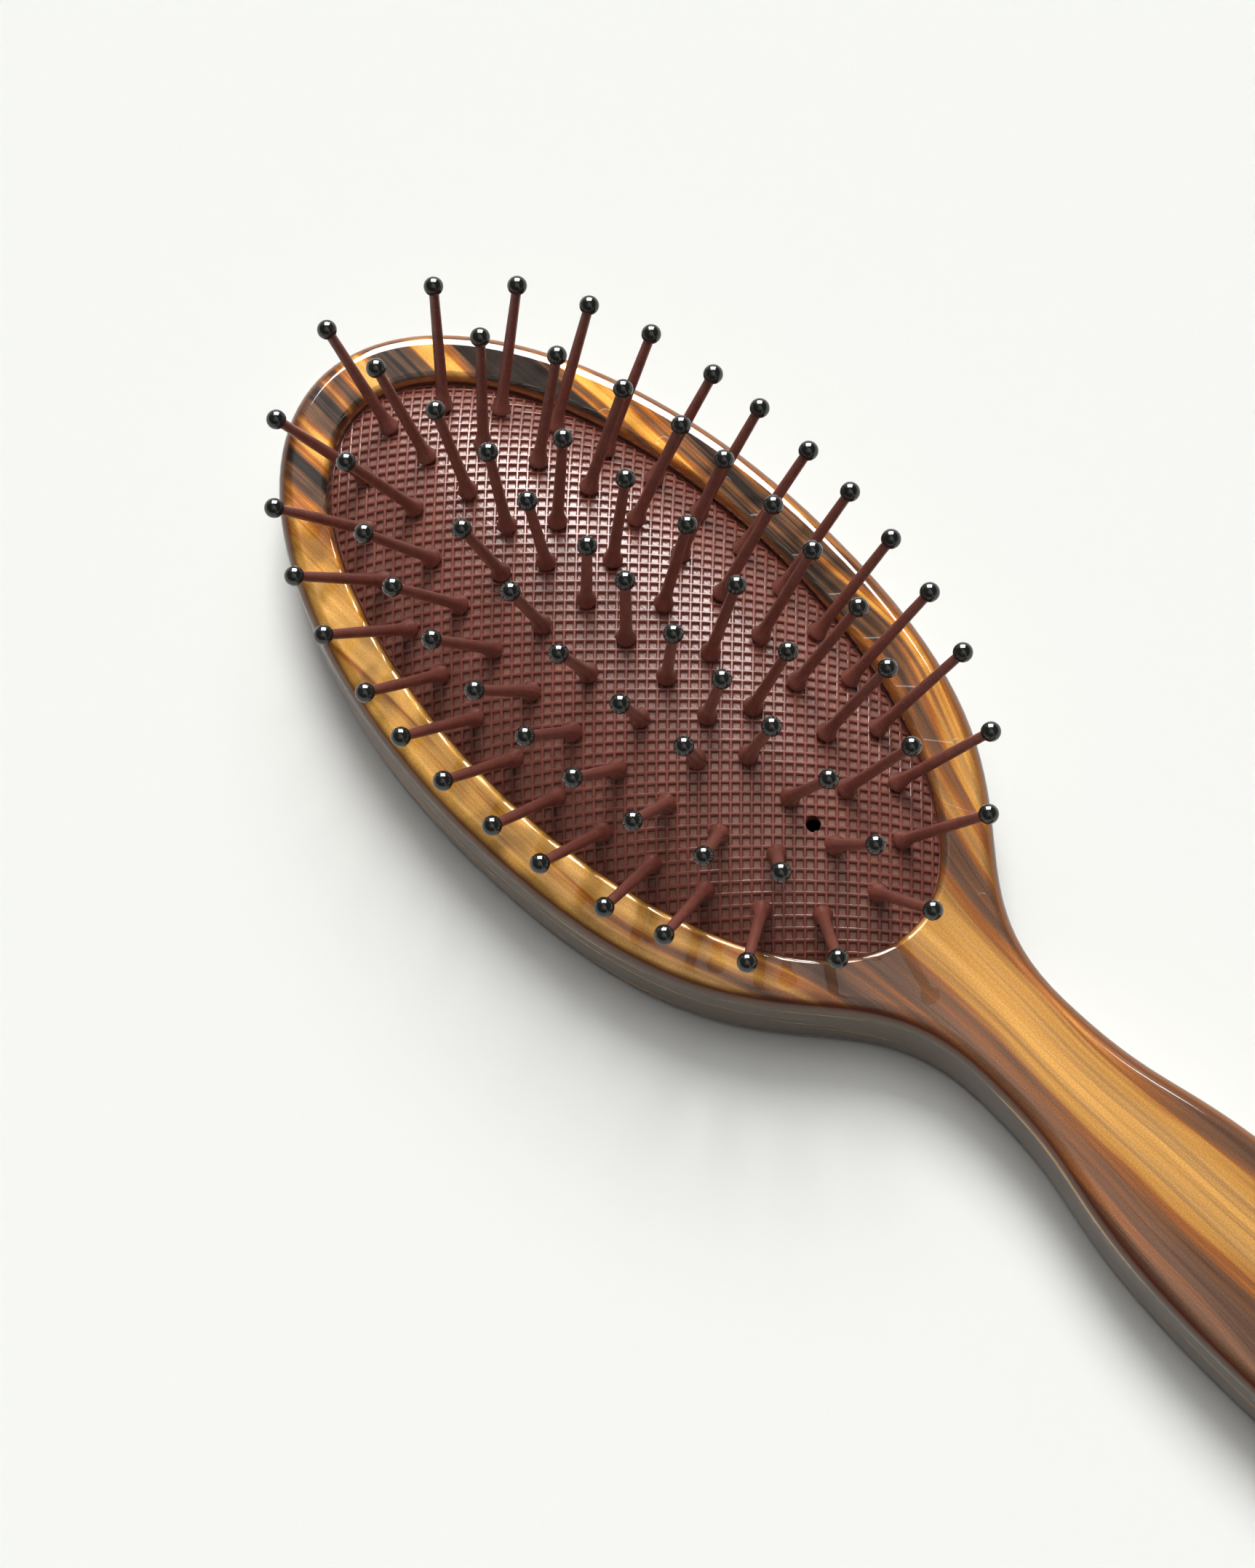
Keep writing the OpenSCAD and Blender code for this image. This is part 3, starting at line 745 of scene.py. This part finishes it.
class BRUSH_OT_pins(bpy.types.Operator):
    """Model the moulded nylon pins with their stems, feet and parting lines"""

    bl_idname = "brush.pins"
    bl_label = "Nylon Pins"

    def execute(self, context):
        pins = context.scene.brush.pins
        low = pins.foot_gap
        profile = [(pins.head / 2, -pins.head_low), (pins.head / 2, -pins.head_high),
                   (pins.stem / 2, -pins.head_high), (pins.stem / 2, low)]
        rounding, top = 0.0004, low + pins.foot_height
        for i in range(5):
            t = math.pi / 2 * i / 4
            profile.append((pins.foot / 2 - rounding * (1 - math.sin(t)),
                            low + rounding * (1 - math.cos(t))))
        for i in range(1, 8):
            rise = i / 7
            profile.append((pins.shaft / 2 + (pins.foot - pins.shaft) / 2 * (1 - rise) ** 2,
                            low + rounding + (top - low - rounding) * rise))
        end = pins.reach + SHAFT_BITE
        profile += [(pins.shaft / 2 + (pins.shaft_tip - pins.shaft) / 2 * s,
                     top + (end - top) * s) for s in (0.25, 0.5, 0.75, 1.0)]
        rings = []
        for radius, z in profile:
            ring = []
            for i in range(pins.sides):
                angle = 2 * math.pi * i / pins.sides
                # The mould's parting line stands up a little on two sides of the shaft
                ridge = 1.06 if i % (pins.sides // 2) == pins.sides // 4 and z > low else 1.0
                ring.append((radius * ridge * math.cos(angle), radius * ridge * math.sin(angle), z))
            rings.append(ring)
        template = loft("pin_template", rings)
        smooth(template, 50)
        material = moulded_nylon(pins)
        for group, body in GROUPS:
            node = "pins_" + group
            piece = copies(group + "_pins", template, pin_lines(node), pins.head_low, material)
            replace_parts(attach(piece, body), node)
        bpy.data.objects.remove(template)
        return {"FINISHED"}


class BRUSH_OT_tips(bpy.types.Operator):
    """Model the dark drops on the ends of the pins"""

    bl_idname = "brush.tips"
    bl_label = "Ball Tips"

    def execute(self, context):
        pins = context.scene.brush.pins
        start()
        bpy.ops.mesh.primitive_uv_sphere_add(segments=32, ring_count=20, radius=pins.ball / 2)
        template = context.object
        bpy.ops.object.mode_set(mode="EDIT")
        bpy.ops.mesh.select_all(action="DESELECT")
        bpy.ops.object.mode_set(mode="OBJECT")
        # The drop is cut flat underneath, over a circle half again as wide as the shaft's end
        reach = pins.ball / 2 * math.cos(math.asin(min(1.0, pins.shaft_tip * 1.5 / pins.ball)))
        for vertex in template.data.vertices:
            vertex.select = vertex.co.z < -reach
            if vertex.select:
                vertex.co.z = -reach
        smooth(template, 60)
        material = glossy_tip(pins)
        for group, body in GROUPS:
            lines = pin_lines("pins_" + group)
            piece = copies(group + "_tips", template, lines, pins.head_low + pins.reach, material)
            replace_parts(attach(piece, body), "tips_" + group)
        bpy.data.objects.remove(template)
        return {"FINISHED"}


class BRUSH_OT_studio(bpy.types.Operator):
    """Set up the floor, the sky, the lamps and the camera"""

    bl_idname = "brush.studio"
    bl_label = "Studio"

    def execute(self, context):
        start()
        bpy.ops.mesh.primitive_plane_add(size=6.0, location=(0, 0, 0))
        floor = context.object
        floor.name = "studio_floor"
        material, tree = blank_material("studio_paper")
        shader = add(tree, "ShaderNodeBsdfDiffuse", {"Color": linear(PAPER)})
        finish_material(tree, shader)
        dress(floor, material)

        world = bpy.data.worlds.new("studio_sky")
        context.scene.world = world
        world.use_nodes = True
        tree = world.node_tree
        tree.nodes.clear()
        way = add(tree, "ShaderNodeTexCoord").outputs["Generated"]
        axes = add(tree, "ShaderNodeSeparateXYZ", {"Vector": way})
        # A pale card hangs over the brush's left side. Its sharp edge runs along the brush
        # and it fades out toward the camera
        tilt = add(tree, "ShaderNodeMath", {0: axes.outputs["X"], 1: 0.118,
                   2: axes.outputs["Y"]}, operation="MULTIPLY_ADD")
        past = add(tree, "ShaderNodeMath", {0: axes.outputs["Z"], 1: -0.197,
                   2: tilt.outputs[0]}, operation="MULTIPLY_ADD")
        card = stops(
            add(tree, "ShaderNodeValToRGB", {"Fac": add(tree, "ShaderNodeMath", {
                0: past.outputs[0], 1: 0.5}, operation="ADD").outputs[0]}),
            grey_stops((0.15, 0.1), (0.42, 0.8), (0.496, 0.95), (0.504, 0.1)))
        # The pale ceiling over the brush's right side
        overhead = add(tree, "ShaderNodeVectorMath", {0: way, 1: (0.27, -0.19, 0.94)},
                       operation="DOT_PRODUCT")
        ceiling = add(tree, "ShaderNodeMapRange", {"Value": overhead.outputs["Value"],
                      "From Min": 0.84, "From Max": 0.99, "To Min": 0.0, "To Max": 0.7},
                      interpolation_type="SMOOTHSTEP")
        # The pale walls of the room stand low all round
        walls = add(tree, "ShaderNodeMapRange", {"Value": axes.outputs["Z"], "From Min": 0.05,
                    "From Max": 0.24, "To Min": 0.9, "To Max": 0.0})
        hung = add(tree, "ShaderNodeMath", {0: card.outputs["Color"],
                   1: walls.outputs["Result"]}, operation="MAXIMUM")
        room = add(tree, "ShaderNodeMath", {0: hung.outputs[0],
                   1: ceiling.outputs["Result"]}, operation="ADD")
        path = add(tree, "ShaderNodeLightPath")
        strength = add(tree, "ShaderNodeMix", {0: path.outputs["Is Glossy Ray"], 2: 0.1,
                       3: room.outputs[0]}, data_type="FLOAT")
        # Beyond the floor's edge the camera sees the paper go on
        seen = add(tree, "ShaderNodeMix", {0: path.outputs["Is Camera Ray"],
                   2: strength.outputs[0], 3: 0.93}, data_type="FLOAT")
        sky = add(tree, "ShaderNodeBackground", {"Color": linear("#FFFFFF"),
                  "Strength": seen.outputs[0]})
        add(tree, "ShaderNodeOutputWorld", {"Surface": sky.outputs[0]})

        for name, toward, energy, angle in (
            ("key_lamp", (-0.43, 0.43, 0.79), 2.23, 28),
            ("overhead_lamp", (-0.15, 0.15, 0.98), 1.09, 40),
        ):
            bpy.ops.object.light_add(type="SUN", location=(0, 0, 1))
            lamp = context.object
            lamp.name = name
            lamp.data.angle = math.radians(angle)
            lamp.data.energy = energy
            lamp.visible_glossy = False
            lamp.rotation_euler = Vector(toward).to_track_quat("Z", "Y").to_euler()
        # The window of a soft box beyond the head, which only the glosses see
        aim, toward, reach = Vector((-0.057, 0, 0.02)), Vector((-0.563, 0.582, 0.587)), 0.7
        bpy.ops.object.light_add(type="AREA", location=aim + toward * reach)
        window = context.object
        window.name = "soft_box"
        window.data.shape = "RECTANGLE"
        window.data.size, window.data.size_y = 0.56, 0.56
        window.data.energy = 24.0
        window.visible_camera = window.visible_diffuse = False
        window.rotation_euler = toward.to_track_quat("Z", "Y").to_euler()

        bpy.ops.object.camera_add()
        camera = context.object
        camera.name = "product_camera"
        right = Vector((0.6929, 0.7190, -0.0534))
        up = Vector((-0.6684, 0.6683, 0.3266))
        back = Vector((0.2705, -0.1906, 0.9437))
        turn = Matrix((right, up, back)).transposed().to_4x4()
        camera.matrix_world = Matrix.Translation((0.09149, -0.10816, 0.49497)) @ turn
        camera.data.sensor_fit = "HORIZONTAL"
        camera.data.sensor_width = SENSOR_WIDTH
        camera.data.lens = SENSOR_WIDTH * FOCAL_PIXELS / PHOTO_WIDTH
        camera.data.clip_start = 0.01
        context.scene.camera = camera
        context.scene.view_settings.view_transform = "Standard"
        return {"FINISHED"}


class BRUSH_PT_panel(bpy.types.Panel):
    """Sizes, colours and pieces of the brush"""

    bl_label = "Cushion Brush"
    bl_space_type = "VIEW_3D"
    bl_region_type = "UI"
    bl_category = "Brush"

    def draw(self, context):
        brush = context.scene.brush
        for title, group in (("Body", brush.body), ("Pad", brush.pad), ("Pins", brush.pins)):
            box = self.layout.box()
            box.label(text=title)
            for key in group.__class__.__annotations__:
                box.prop(group, key)
        for operator in OPERATORS:
            self.layout.operator(operator.bl_idname)


OPERATORS = (BRUSH_OT_body, BRUSH_OT_pad, BRUSH_OT_pins, BRUSH_OT_tips, BRUSH_OT_studio)
CLASSES = (BrushBodySizes, BrushPadSizes, BrushPinSizes, BrushSettings, *OPERATORS,
           BRUSH_PT_panel)


def register():
    for cls in CLASSES:
        bpy.utils.register_class(cls)
    bpy.types.Scene.brush = PointerProperty(type=BrushSettings)


def unregister():
    del bpy.types.Scene.brush
    for cls in reversed(CLASSES):
        bpy.utils.unregister_class(cls)


def main():
    register()
    bpy.ops.brush.studio()
    bpy.ops.brush.body()
    bpy.ops.brush.pad()
    bpy.ops.brush.pins()
    bpy.ops.brush.tips()


if __name__ == "__main__":
    main()
